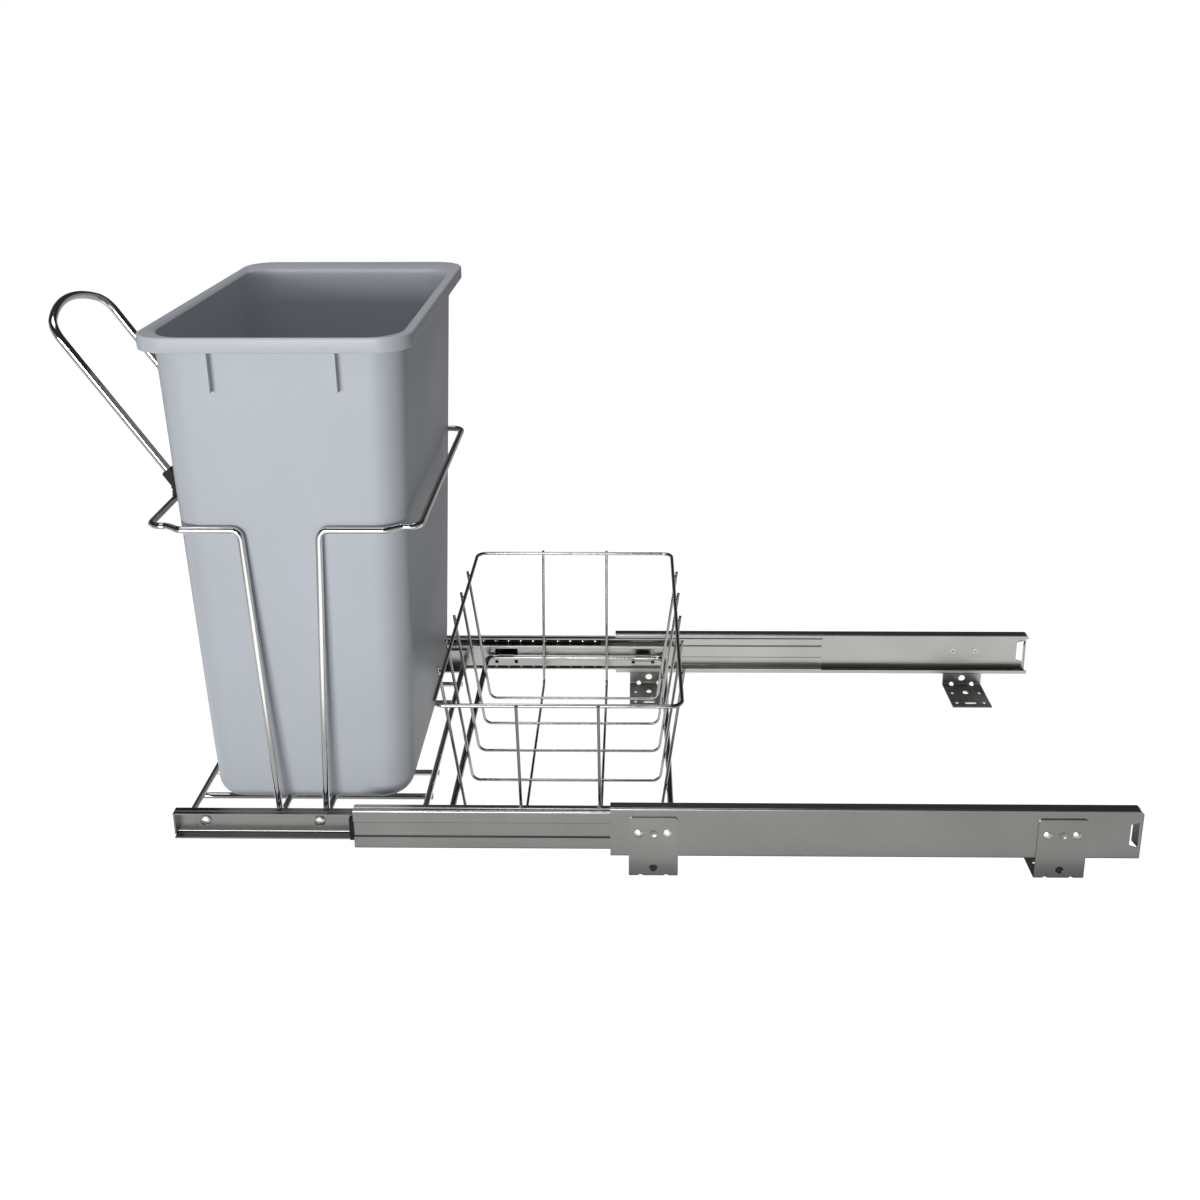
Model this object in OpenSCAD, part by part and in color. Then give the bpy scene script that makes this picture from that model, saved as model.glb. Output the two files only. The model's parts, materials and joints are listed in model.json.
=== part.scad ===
// Pull out bin frame: two three-part ball slides on floor brackets, a welded wire
// frame with a lift-out bin, a lift-out wire basket and a swinging pull handle.
// +X points to the rear of the cabinet, +Y to the left, +Z up. The origin is the
// centre of the four floor screws, on the cabinet floor. The frame is drawn pulled out.

/* [Slides] */
// Length of the cabinet member, the outermost part of a slide
cabinet_member_length = 508; // [470:1:560]
// Length of the middle member
middle_member_length = 503; // [470:1:520]
// Length of the drawer member, the innermost part of a slide
drawer_member_length = 496; // [480:1:530]
// Height of the cabinet member
slide_height = 53; // [52:0.5:60]
// Height of the slide's centre line above the floor
slide_centre_height = 48.2; // [44:0.1:60]
// Depth of one whole slide, from the cabinet face to the drawer face
slide_depth = 18; // [17.6:0.1:20]
// Sheet thickness of the slide members
slide_sheet = 1.5; // [1.2:0.1:1.6]
// How far the middle member stands out in front of the cabinet member
middle_pull = 248; // [200:1:260]
// How far the drawer member stands out in front of the cabinet member
drawer_pull = 424; // [400:1:440]
// Diameter of the balls between the cabinet and middle members
outer_ball_d = 5; // [4.6:0.1:5.2]
// Diameter of the balls between the middle and drawer members
inner_ball_d = 6.4; // [6:0.1:6.6]
// Balls in one row of a cage
balls_per_row = 10; // [4:1:10]

/* [Floor brackets] */
// Width of a bracket along the slide
bracket_width = 47.5; // [46:0.5:60]
// Height of a bracket's upright plate
bracket_height = 65.4; // [60:0.1:72]
// Reach of the bracket's foot under the slide
bracket_foot = 57; // [52:0.5:70]
// Sheet thickness of the brackets
bracket_sheet = 1.5; // [1.2:0.1:2]
// Distance of the front floor screws from the cabinet member's front end
front_bracket_inset = 41.5; // [32:0.5:60]
// Distance of the rear floor screws from the cabinet member's rear end
rear_bracket_inset = 75.5; // [40:0.5:100]
// Distance of the floor screws from the bracket's outer face
floor_screw_inset = 22; // [20:0.5:24]
// Diameter of the floor screw holes
floor_screw_d = 7; // [4.5:0.1:7.5]
// Distance between the two rivets of a bracket
rivet_pitch = 28; // [24:0.5:30]
// Shank diameter of the bracket rivets
rivet_d = 5; // [4:0.1:6]

/* [Bin] */
// Length of the bin's rim along the slides
bin_length = 249; // [235:1:251]
// Width of the bin's rim across the slides
bin_width = 373; // [350:1:374]
// Height of the bin
bin_height = 487.7; // [430:1:520]
// Wall thickness of the bin
bin_wall = 2.5; // [2:0.1:3.5]
// Length of the bin's body under the rim
bin_top_length = 222; // [216:1:226]
// Width of the bin's body under the rim
bin_top_width = 334; // [320:1:336]
// Length of the bin's body at its foot
bin_foot_length = 194; // [180:1:200]
// Width of the bin's body at its foot
bin_foot_width = 268; // [250:1:280]
// Corner radius of the rim
bin_rim_r = 38; // [30:1:44]
// Height of the rim's skirt
bin_skirt = 13.5; // [11:0.5:20]

/* [Bin frame] */
// Diameter of the frame wire
frame_wire_d = 6.5; // [5:0.1:6.6]
// Height of the hoops' top run
hoop_height = 348.5; // [300:0.5:400]
// Gap between the bin's sides and the hoops, at the height of the hoops' top run
hoop_side_gap = 2.3; // [1:0.1:6]
// Distance from the bin's ends to the middle of the hoops' end runs, on average
hoop_end_gap = 20.8; // [16:0.1:30]
// Gap between the hoops and the side rails
hoop_rail_gap = 4.7; // [4:0.1:10]
// Distance between the outer runs of the base wires
base_length = 230.5; // [215:0.5:236]
// Height of the cross wires' middle line
cross_wire_height = 45; // [43.5:0.1:48]
// Flange width of the side rails, towards the middle
rail_flange = 18; // [10:1:24]

/* [Handle] */
// Diameter of the handle's wire
handle_wire_d = 8; // [6:0.1:9]
// Width over the middle lines of the handle's legs
handle_width = 131.8; // [110:0.2:150]
// Length of the handle from the hinge to the middle of its far end
handle_length = 218.7; // [170:0.1:230]
// Corner radius of the handle
handle_r = 24; // [16:0.5:30]
// Radius of the bow that the handle's far end makes
handle_bow_r = 118; // [90:1:200]
// Slope of the handle above the horizontal
handle_slope = 56; // [40:1:58]

/* [Basket] */
// Length over the middle lines of the basket's rim
basket_length = 234.6; // [210:0.2:240]
// Width over the middle lines of the basket's rim
basket_width = 360.6; // [350:0.2:364]
// Height of the rim's middle line above the floor
basket_rim_height = 180.1; // [140:0.1:220]
// Height of the basket's floor wires above the floor
basket_floor_height = 21; // [18:0.5:30]
// Length over the middle lines of the basket's floor
basket_floor_length = 199; // [180:0.5:204]
// Diameter of the basket's rim wire
basket_rim_d = 4; // [3:0.1:5]
// Diameter of the basket's thin wires
basket_wire_d = 3.2; // [2.5:0.1:3.5]
// Distance between neighbouring lengthwise hoops of the basket
basket_hoop_pitch = 57.5; // [40:0.5:62]
// Distance between the two crosswise hoops of the basket
basket_cross_pitch = 77; // [50:1:100]

/* [Hidden] */

steel = [0.60, 0.60, 0.58];
steel_light = [0.74, 0.74, 0.72];
chrome = [0.78, 0.79, 0.80];
black = [0.10, 0.10, 0.10];
bin_grey = [0.72, 0.74, 0.78];

// Clearances
weld_gap = 0.05;     // between wires that are welded where they cross
ring_web_gap = 0.25; // between the basket ring and the drawer members' webs
seat_gap = 0.3;      // between loose parts and what carries them
running_gap = 0.05;  // radial, round balls, pins and shanks

// How far a straight wire reaches into its bends, which are a hair thicker
bend_grip = 0.25;
bend_fill = 0.02;

// Slide section, as depths measured inwards from the cabinet member's outer face
web_gap = 1;
flange_gap = 4;
cabinet_depth = 11.5;
middle_depth = 10.4;
middle_web_in = slide_sheet + web_gap;
middle_lip = middle_web_in + middle_depth;
drawer_lip = middle_web_in + slide_sheet + 2.5;
outer_row_depth = 6.5;
inner_row_depth = (drawer_lip + middle_lip) / 2;
cabinet_half = slide_height / 2;
middle_half = cabinet_half - slide_sheet - flange_gap;
inner_flange_gap = inner_ball_d - 0.75;
drawer_half = middle_half - slide_sheet - inner_flange_gap;
outer_row = middle_half + flange_gap / 2;
inner_row = drawer_half + inner_flange_gap / 2;
cabinet_lip_height = 5;
bend_r = 1.8;
band_half = 6.9;
band_slope = 1.5;
band_depth = 1.5;

// Places along the slide
bracket_x = (cabinet_member_length - front_bracket_inset - rear_bracket_inset) / 2;
cabinet_front = -bracket_x - front_bracket_inset;
cabinet_rear = cabinet_front + cabinet_member_length;
middle_front = cabinet_front - middle_pull;
drawer_front = cabinet_front - drawer_pull;
rear_window = [8.4, 28.4];
rear_window_end = 2.8;
rear_flap = [3.2, 8.6];
rear_flap_chamfer = 2.6;
rear_clip = 5;

// Brackets
dimple_r = 9.2;
dimple_depth = 0.8;
bend_hole_d = 5.4;

// Cages
outer_cage_length = 240;
outer_cage_front = cabinet_front + 5;
outer_cage_sheet = 0.4;
inner_cage_length = 152;
inner_cage_front = cabinet_front - 170;
inner_cage_sheet = 0.6;
cage_end = 7;

// Bumper on the front end of the middle member
bumper_thick = 4;
bumper_slot = [2.2, 8];

// Drawer member
front_tab = 9.5;
front_tab_corner = 4;
clip_window = [28, 19.8];
clip_strap = 20;
clip_sheet = 1.2;
seam_x = 19;

// Bin
wire_r = frame_wire_d / 2;
bin_from_front = 128.5;
bin_x = drawer_front + bin_from_front;
bin_foot = cross_wire_height + wire_r + seat_gap;
bin_top = bin_foot + bin_height;
bin_rim_thick = 3;
bin_body_top = bin_top - bin_rim_thick;
bin_foot_r = 24;
bin_top_r = 32;
bin_edge_r = 11.5;
rim_round = 2.5;
rim_taper = 2;
rim_flare = 5;
gusset = [2.6, 36];
gusset_x = [-58, 54];

function bin_rise(z) = (z - bin_foot) / (bin_body_top - bin_foot);
function bin_length_at(z) =
    bin_foot_length + (bin_top_length - bin_foot_length) * bin_rise(z);
function bin_width_at(z) = bin_foot_width + (bin_top_width - bin_foot_width) * bin_rise(z);

// Bin frame
hoops_from_front = 122.5;
base_from_front = 123.75;
hoop_mid = drawer_front + hoops_from_front;
base_mid = drawer_front + base_from_front;
hoop_y = bin_width_at(hoop_height) / 2 + hoop_side_gap + wire_r;
hoop_length = bin_length_at(hoop_height) + 2 * hoop_end_gap;
upright_top_reach = [-38.5, 34.5];
upright_foot_reach = [-23.5, 21.5];
upright_top = [for (reach = upright_top_reach) hoop_mid + reach];
upright_foot = [for (reach = upright_foot_reach) hoop_mid + reach];
hoop_jog = 9.5;
hoop_jog_run = 14;
hoop_corner_r = 11;
hoop_bend_r = 9;
jog_r = 8;
long_wire_y = [72, 115];
rail_web_in = hoop_y + wire_r + hoop_rail_gap;
drawer_web_in = rail_web_in + slide_sheet;
drawer_web_out = drawer_web_in + slide_sheet;
face_y = drawer_web_in + slide_depth;
rail_top = 57;
rail_lip = 3.8;
rail_length = 234;
screw_from_front = [28, 140];
screw_d = 5;
screw_head_d = 11;
screw_head_h = 3;
boss_d = 9;
boss_reach = 2.2;

// Basket
basket_from_front = 374.9;
clip_reach = [-85.4, 83.2];
basket_mid = drawer_front + basket_from_front;
clip_x = [for (reach = clip_reach) basket_mid + reach];
basket_tip = 5;
basket_bend_r = 9;
basket_corner_r = 11;
ring_height = slide_centre_height;
basket_rise = basket_rim_height - basket_floor_height;
ring_share = (ring_height - basket_floor_height) / basket_rise;
long_hoop_top = basket_length / 2 + (basket_rim_d + basket_wire_d) / 2 + weld_gap;
cross_hoop_top = basket_width / 2 + (basket_rim_d + basket_wire_d) / 2 + weld_gap;
long_hoop_foot = basket_floor_length / 2;
ring_clear = basket_wire_d / 2 + seat_gap + wire_r;
ring_half_x = long_hoop_foot + (long_hoop_top - long_hoop_foot) * ring_share + ring_clear;
ring_half_y = drawer_web_in - wire_r - ring_web_gap;
ring_corner_r = 9;
cross_hoop_low = basket_floor_height - basket_wire_d - weld_gap;
cross_ring_share = (ring_height - cross_hoop_low) / (basket_rim_height - cross_hoop_low);
cross_hoop_foot = (ring_half_y - ring_clear - cross_hoop_top * cross_ring_share)
    / (1 - cross_ring_share);

// Handle
hinge_x = hoop_mid - hoop_length / 2;
clip_wall = 1.2;
handle_overlap = 0.75;
handle_offset = wire_r + handle_wire_d / 2 - handle_overlap;
handle_bow = asin((handle_width / 2 - handle_r) / (handle_bow_r - handle_r));
handle_tip = handle_length + handle_bow_r * (1 / cos(handle_bow) - 1);
handle_corner = handle_tip - handle_width / 2 * tan(handle_bow);
handle_leg_start = 8;
clip_length = 27;
clip_body_start = 8.5;
clip_corner_r = 2.5;
clip_width = handle_wire_d + 2 * clip_wall;
clip_hub_wall = 2.35;
clip_hub_r = wire_r + clip_hub_wall;
clip_heel = [4.6, 0.6];
clip_heel_r = 3.2;

// A rounded rectangle with its lower left corner at the origin
module round_rect(w, h, r) {
    translate([r, 0]) square([w - 2 * r, h]);
    translate([0, r]) square([w, h - 2 * r]);
    for (x = [r, w - r], y = [r, h - r]) translate([x, y]) circle(r, $fn = 24);
}

// A section drawn with Y across and Z up, carried along X
module along_x(from, len) {
    translate([from, 0, 0]) rotate([90, 0, 90]) linear_extrude(len) children();
}

// The section of a rolled channel between two depths, with its web at the first one
module channel(web_at, lip_at, half, sheet) {
    side = sign(lip_at - web_at);
    w = abs(lip_at - web_at);
    translate([web_at, 0]) scale([side, 1]) difference() {
        translate([0, -half]) round_rect(w + bend_r, 2 * half, bend_r);
        translate([sheet, sheet - half]) round_rect(w + bend_r, 2 * (half - sheet), bend_r / 2);
        translate([w, -half - 1]) square([bend_r + 1, 2 * half + 2]);
    }
}

module both_rows(at, row) {
    for (s = [-1, 1]) translate([at, s * row]) children();
}

// Moves a part drawn in slide depths to the right hand slide
module right_slide() {
    translate([0, -face_y, slide_centre_height]) children();
}

module left_side() {
    mirror([0, 1, 0]) children();
}

function unit(v) = v / norm(v);
function bend_angle(a, p, b) = acos(unit(p - a) * unit(b - p));
function bend_cut(a, p, b, r) = r * tan(bend_angle(a, p, b) / 2);

// A straight round wire between two points
module rod(a, b, d) {
    v = b - a;
    translate(a) rotate([0, acos(v.z / norm(v)), atan2(v.y, v.x)])
        cylinder(h = norm(v), d = d, $fn = 24);
}

// The bend of a round wire at point p, on the way from a to b
module bend(a, p, b, r, d) {
    u = unit(p - a);
    v = unit(b - p);
    angle = bend_angle(a, p, b);
    start = p - u * bend_cut(a, p, b, r);
    centre = p + unit(v - u) * r / cos(angle / 2);
    x = unit(start - centre);
    z = cross(x, u);
    multmatrix([
        [x.x, u.x, z.x, centre.x], [x.y, u.y, z.y, centre.y],
        [x.z, u.z, z.z, centre.z], [0, 0, 0, 1]
    ])
        rotate_extrude(angle = angle, $fn = 64) translate([r, 0])
            circle(d = d + bend_fill, $fn = 24);
}

// A wire through the points, with a bend of its own radius at each of them
module wire(points, radii, d, closed = false) {
    n = len(points);
    last = closed ? n - 1 : n - 2;
    union() {
        for (i = [0:last]) {
            a = points[i];
            b = points[(i + 1) % n];
            before = points[(i + n - 1) % n];
            after = points[(i + 2) % n];
            cut_a = (closed || i > 0) ? bend_cut(before, a, b, radii[i]) - bend_grip : 0;
            cut_b = (closed || i < last)
                ? bend_cut(a, b, after, radii[(i + 1) % n]) - bend_grip : 0;
            rod(a + unit(b - a) * cut_a, b - unit(b - a) * cut_b, d);
        }
        for (i = [closed ? 0 : 1:closed ? n - 1 : n - 2])
            bend(points[(i + n - 1) % n], points[i], points[(i + 1) % n], radii[i], d);
    }
}

// The rear window: a slot that narrows towards the front
module rear_window_cut() {
    half = rear_window[1] / 2;
    translate([cabinet_rear - rear_window_end, slide_sheet + 1, 0]) rotate([90, 0, 0])
        linear_extrude(slide_sheet + 2) polygon([
            [0, -half], [0, half], [-rear_window[0], half - rear_flap_chamfer],
            [-rear_window[0], rear_flap_chamfer - half]
        ]);
}

// The flap: bent inwards at the window's rear edge
module rear_flap_plate() {
    half = rear_window[1] / 2;
    hinge = cabinet_rear - rear_window_end;
    intersection() {
        translate([hinge, 0, -half]) linear_extrude(2 * half) polygon([
            [0, slide_sheet / 2], [slide_sheet, slide_sheet / 2], [slide_sheet, slide_sheet],
            [slide_sheet - rear_flap[0], rear_flap[1]], [-rear_flap[0], rear_flap[1]]
        ]);
        along_x(hinge - rear_flap[0], rear_flap[0] + slide_sheet) polygon([
            [0, -half], [0, half], [rear_flap[1], half - rear_flap_chamfer],
            [rear_flap[1], rear_flap_chamfer - half]
        ]);
    }
}

// Cabinet member: a channel with short inward lips, open towards the middle
module cabinet_member() {
    opening = cabinet_half - cabinet_lip_height;
    right_slide() {
        difference() {
            along_x(cabinet_front, cabinet_member_length) difference() {
                translate([0, -cabinet_half]) round_rect(cabinet_depth, slide_height, bend_r);
                translate([slide_sheet, slide_sheet - cabinet_half])
                    round_rect(cabinet_depth - 2 * slide_sheet, slide_height - 2 * slide_sheet, 1);
                translate([cabinet_depth - slide_sheet - 1, -opening])
                    square([slide_sheet + 2, 2 * opening]);
                both_rows(outer_row_depth, outer_row)
                    circle(outer_ball_d / 2 + running_gap, $fn = 48);
            }
            rear_window_cut();
            translate([cabinet_rear, cabinet_depth / 2, cabinet_half]) rotate([0, 45, 0])
                cube([rear_clip, cabinet_depth + 2, rear_clip], center = true);
            for (x = [-bracket_x, bracket_x], s = [-1, 1])
                translate([x + s * rivet_pitch / 2, -1, 0]) rotate([-90, 0, 0])
                    cylinder(h = slide_sheet + 2, d = rivet_d + 2 * running_gap, $fn = 32);
        }
        rear_flap_plate();
    }
}

module right_cabinet_member() { color(steel) cabinet_member(); }
module left_cabinet_member() { color(steel) left_side() cabinet_member(); }

// A tear shaped floor screw hole, with its point towards the slide
module floor_hole() {
    circle(d = floor_screw_d, $fn = 32);
    rotate(-135) square(floor_screw_d * 0.56);
}

// Bracket: an upright plate with a bent foot, for the right hand side
module bracket(x) {
    outer = face_y + bracket_sheet;
    bend_out = 3;
    top_r = 4;
    translate([x, -outer, 0]) difference() {
        union() {
            along_x(-bracket_width / 2, bracket_width) {
                translate([0, bend_out]) square([bracket_sheet, bracket_height - bend_out]);
                translate([bend_out, 0]) square([bracket_foot - bend_out, bracket_sheet]);
                translate([bend_out, bend_out]) intersection() {
                    difference() {
                        circle(bend_out, $fn = 32);
                        circle(bend_out - bracket_sheet, $fn = 32);
                    }
                    translate([-bend_out, -bend_out]) square(bend_out);
                }
            }
        }
        translate([0, dimple_depth - dimple_r, slide_centre_height]) sphere(dimple_r, $fn = 64);
        for (s = [-1, 1]) translate([s * (bracket_width / 2 - top_r), -1, bracket_height - top_r])
            rotate([-90, 0, 0]) linear_extrude(bracket_sheet + 2) difference() {
                translate([s > 0 ? 0 : -top_r - 1, -top_r - 1]) square(top_r + 1);
                circle(top_r, $fn = 32);
            }
        for (s = [-1, 1]) translate([s * rivet_pitch / 2, -1, slide_centre_height])
            rotate([-90, 0, 0])
                cylinder(h = bracket_sheet + 2, d = rivet_d + 2 * running_gap, $fn = 32);
        translate([0, -1, 10]) rotate([-90, 0, 0]) cylinder(h = bracket_sheet + 2, d = 8, $fn = 32);
        for (s = [-1, 1]) translate([s * 12.5, 0, 0]) rotate([-45, 0, 0])
            cylinder(h = 4 * bend_out, d = bend_hole_d, center = true, $fn = 32);
        translate([0, floor_screw_inset, -1]) linear_extrude(bracket_sheet + 2) floor_hole();
        for (s = [-1, 1], y = [23.5, 47]) translate([s * 16.5, y, -1])
            cylinder(h = bracket_sheet + 2, d = 4, $fn = 24);
        translate([-7, 45.4, -1]) linear_extrude(bracket_sheet + 2) round_rect(14, 4, 1.98);
    }
}

module right_front_bracket() { color(steel) bracket(-bracket_x); }
module right_rear_bracket() { color(steel) bracket(bracket_x); }
module left_front_bracket() { color(steel) left_side() bracket(-bracket_x); }
module left_rear_bracket() { color(steel) left_side() bracket(bracket_x); }

// A semi-tubular rivet: domed head outside, hollow shank end flush with the channel
module rivet() {
    reach = bracket_sheet + slide_sheet;
    head_r = 4.5;
    head_h = 1.6;
    rotate([-90, 0, 0]) {
        difference() {
            cylinder(h = reach - 0.05, d = rivet_d, $fn = 32);
            translate([0, 0, reach - 2]) cylinder(h = 3, d = rivet_d - 1.8, $fn = 32);
        }
        mirror([0, 0, 1]) intersection() {
            cylinder(h = head_h, r = head_r, $fn = 32);
            translate([0, 0, -5.6]) sphere(7.2, $fn = 48);
        }
    }
}

module bracket_rivets() {
    color(steel_light)
        for (side = [0, 1], x = [-bracket_x, bracket_x], s = [-1, 1])
            mirror([0, side, 0])
                translate([
                    x + s * rivet_pitch / 2, -face_y - bracket_sheet, slide_centre_height
                ]) rivet();
}

function ball_x(front, length, i) =
    front + cage_end + i * (length - 2 * cage_end) / (balls_per_row - 1);

// A cage: a thin channel with a round pocket for each ball
module cage(front, length, web_at, lip_at, depth, row, sheet, ball_d) {
    right_slide() difference() {
        along_x(front, length) difference() {
            translate([web_at, -row - sheet / 2])
                square([lip_at - web_at, 2 * row + sheet]);
            translate([web_at + sheet, -row + sheet / 2])
                square([lip_at - web_at, 2 * row - sheet]);
        }
        for (i = [0:balls_per_row - 1])
            translate([ball_x(front, length, i), depth, -row - 2])
                cylinder(h = 2 * row + 4, d = ball_d + 4 * running_gap, $fn = 32);
    }
}

module outer_cage() {
    cage(outer_cage_front, outer_cage_length, slide_sheet + seat_gap,
        cabinet_depth - slide_sheet - 0.4, outer_row_depth, outer_row,
        outer_cage_sheet, outer_ball_d);
}

module inner_cage() {
    cage(inner_cage_front, inner_cage_length, middle_web_in + slide_sheet + band_depth + 0.2,
        middle_lip + 0.8, inner_row_depth, inner_row, inner_cage_sheet, inner_ball_d);
}

module balls(front, length, depth, row, d) {
    right_slide() for (i = [0:balls_per_row - 1], s = [-1, 1])
        translate([ball_x(front, length, i), depth, s * row]) sphere(d = d, $fn = 24);
}

module right_outer_cage() { color(steel_light) outer_cage(); }
module left_outer_cage() { color(steel_light) left_side() outer_cage(); }
module outer_balls() {
    color(chrome) for (side = [0, 1]) mirror([0, side, 0])
        balls(outer_cage_front, outer_cage_length, outer_row_depth, outer_row, outer_ball_d);
}

module right_inner_cage() { color(black) inner_cage(); }
module left_inner_cage() { color(black) left_side() inner_cage(); }
module inner_balls() {
    color(chrome) for (side = [0, 1]) mirror([0, side, 0])
        balls(inner_cage_front, inner_cage_length, inner_row_depth, inner_row, inner_ball_d);
}

// The band along the middle member's web that is pressed inwards
module web_band() {
    edge = band_half + band_slope;
    polygon([[-0.01, -edge], [band_depth, -band_half], [band_depth, band_half], [-0.01, edge]]);
}

// Middle member: a channel with ball grooves inside and outside, and a pressed band
module middle_member() {
    right_slide() along_x(middle_front, middle_member_length) difference() {
        union() {
            channel(middle_web_in, middle_lip, middle_half, slide_sheet);
            translate([middle_web_in + slide_sheet, 0]) web_band();
        }
        translate([middle_web_in, 0]) web_band();
        both_rows(outer_row_depth, outer_row) circle(outer_ball_d / 2 + running_gap, $fn = 48);
        both_rows(inner_row_depth, inner_row) circle(inner_ball_d / 2 + running_gap, $fn = 48);
    }
}

module right_middle_member() { color(steel) middle_member(); }
module left_middle_member() { color(steel) left_side() middle_member(); }

// Bumper: the plastic end stop on the middle member's front edge, with a slot
module bumper() {
    half = drawer_half - slide_sheet - 0.5;
    reach = 9;
    right_slide() difference() {
        translate([middle_front - bumper_thick, middle_web_in, -half])
            cube([bumper_thick, reach, 2 * half]);
        translate([middle_front - bumper_thick - 1, middle_web_in + reach - bumper_slot[1] + 1,
            -bumper_slot[0] / 2]) cube([2.5, bumper_slot[1], bumper_slot[0]]);
    }
}

module right_bumper() { color(black) bumper(); }
module left_bumper() { color(black) left_side() bumper(); }

// The opening of a lanced wire clip in the drawer member's web
module clip_opening(x) {
    translate([x - clip_window[0] / 2, slide_depth - slide_sheet - 1, -clip_window[1] / 2])
        cube([clip_window[0], slide_sheet + 2, clip_window[1]]);
}

// The strap: a hook that comes up from the opening's lower edge, round the ring wire
module clip_profile() {
    r = wire_r + 0.2;
    wire_depth = face_y - ring_half_y;
    plate = slide_depth - slide_sheet;
    difference() {
        union() {
            translate([wire_depth, 0]) circle(r + clip_sheet, $fn = 48);
            translate([plate, -r - clip_sheet]) square([wire_depth - plate, r + clip_sheet]);
            translate([plate, -clip_window[1] / 2 - 0.01])
                square([slide_sheet, clip_window[1] / 2]);
        }
        translate([wire_depth, 0]) circle(r, $fn = 48);
        translate([plate - 1, -r]) square([wire_depth - plate + 1, 2 * r + clip_sheet + 1]);
    }
}

// Drawer member: a channel open towards the cabinet, with wire clips and a front tab
module drawer_member() {
    web_at = slide_depth;
    tab_low = front_tab_corner - drawer_half;
    right_slide() {
        difference() {
            union() {
                along_x(drawer_front, drawer_member_length) difference() {
                    channel(web_at, drawer_lip, drawer_half, slide_sheet);
                    both_rows(inner_row_depth, inner_row)
                        circle(inner_ball_d / 2 + running_gap, $fn = 48);
                }
                translate([drawer_front, web_at - slide_sheet - front_tab, tab_low])
                    cube([slide_sheet, front_tab + slide_sheet / 2, drawer_half - tab_low - 0.5]);
            }
            for (x = clip_x) clip_opening(x);
            for (x = screw_from_front) translate([drawer_front + x, 0, 0]) rotate([-90, 0, 0])
                cylinder(h = slide_depth + 2, d = screw_d + 2 * running_gap, $fn = 32);
            translate([drawer_front + seam_x, web_at - slide_sheet - 0.8, -drawer_half])
                cube([0.8, 1.1, 2 * drawer_half]);
        }
        for (x = clip_x) along_x(x - clip_strap / 2, clip_strap) clip_profile();
    }
}

module right_drawer_member() { color(steel_light) drawer_member(); }
module left_drawer_member() { color(steel_light) left_side() drawer_member(); }

// Side rail: the welded frame's channel, screwed to the drawer member's inner face
module side_rail() {
    bottom = slide_centre_height - drawer_half;
    height = rail_top - bottom;
    front = base_mid - rail_length / 2;
    difference() {
        union() {
            along_x(front, rail_length) {
                translate([-drawer_web_in, bottom]) square([slide_sheet, height]);
                translate([-drawer_web_in, bottom]) square([rail_flange, slide_sheet]);
                translate([-drawer_web_in, rail_top - slide_sheet])
                    square([rail_lip, slide_sheet]);
            }
            for (x = screw_from_front)
                translate([drawer_front + x, -rail_web_in - 0.5, slide_centre_height])
                    rotate([-90, 0, 0]) cylinder(h = boss_reach + 0.5, d = boss_d, $fn = 32);
        }
        for (x = screw_from_front)
            translate([drawer_front + x, -drawer_web_in - 1, slide_centre_height])
                rotate([-90, 0, 0]) cylinder(h = slide_sheet + boss_reach + 2,
                    d = screw_d + 2 * running_gap, $fn = 32);
    }
}

module right_side_rail() { color(steel_light) side_rail(); }
module left_side_rail() { color(steel_light) left_side() side_rail(); }

// A pan head screw with a cross recess, its head inside the drawer channel
module rail_screw() {
    shank = 2 * slide_sheet + boss_reach;
    rotate([-90, 0, 0]) {
        cylinder(h = shank, d = screw_d, $fn = 32);
        mirror([0, 0, 1]) difference() {
            intersection() {
                cylinder(h = screw_head_h, d = screw_head_d, $fn = 48);
                translate([0, 0, -4.6]) sphere(7.8, $fn = 48);
            }
            for (a = [30, 120]) rotate(a) translate([-2.6, -0.55, screw_head_h - 1.6])
                cube([5.2, 1.1, 3]);
        }
    }
}

module rail_screws() {
    color(steel_light) for (side = [0, 1], x = screw_from_front) mirror([0, side, 0])
        translate([drawer_front + x, -drawer_web_out, slide_centre_height]) rail_screw();
}

// Base: two cross wires between the rails, and four long wires under them
module base_cross_wires() {
    color(chrome) for (s = [-1, 1])
        rod([base_mid + s * base_length / 2, -rail_web_in, cross_wire_height],
            [base_mid + s * base_length / 2, rail_web_in, cross_wire_height], frame_wire_d);
}

module base_long_wires() {
    z = cross_wire_height - frame_wire_d - weld_gap;
    reach = base_length / 2 + wire_r;
    color(chrome) for (y = long_wire_y, s = [-1, 1])
        rod([base_mid - reach, s * y, z], [base_mid + reach, s * y, z], frame_wire_d);
}

// A hoop: one closed wire that goes round one end of the bin and crosses under it.
// end is -1 for the front hoop and 1 for the rear one.
module hoop(end, top_x, foot_x) {
    far = hoop_mid + end * hoop_length / 2;
    inner_y = hoop_y - hoop_jog;
    half = [
        [foot_x, hoop_y, cross_wire_height],
        [top_x, hoop_y, hoop_height],
        [far - end * (17 + hoop_jog_run), hoop_y, hoop_height],
        [far - end * 17, inner_y, hoop_height],
        [far, inner_y, hoop_height]
    ];
    half_r = [hoop_bend_r, hoop_bend_r, jog_r, jog_r, hoop_corner_r];
    n = len(half);
    points = concat(
        [for (p = half) [p.x, -p.y, p.z]],
        [for (i = [n - 1:-1:0]) half[i]]
    );
    radii = concat(half_r, [for (i = [n - 1:-1:0]) half_r[i]]);
    wire(points, radii, frame_wire_d, closed = true);
}

module front_hoop() { color(chrome) hoop(-1, upright_top[0], upright_foot[0]); }
module rear_hoop() { color(chrome) hoop(1, upright_top[1], upright_foot[1]); }

// Basket ring: the wire held by the clips of the drawer members
module basket_ring() {
    x0 = basket_mid - ring_half_x;
    x1 = basket_mid + ring_half_x;
    y = ring_half_y;
    z = ring_height;
    r = ring_corner_r;
    color(chrome) wire([[x0, -y, z], [x1, -y, z], [x1, y, z], [x0, y, z]], [r, r, r, r],
        frame_wire_d, closed = true);
}

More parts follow.
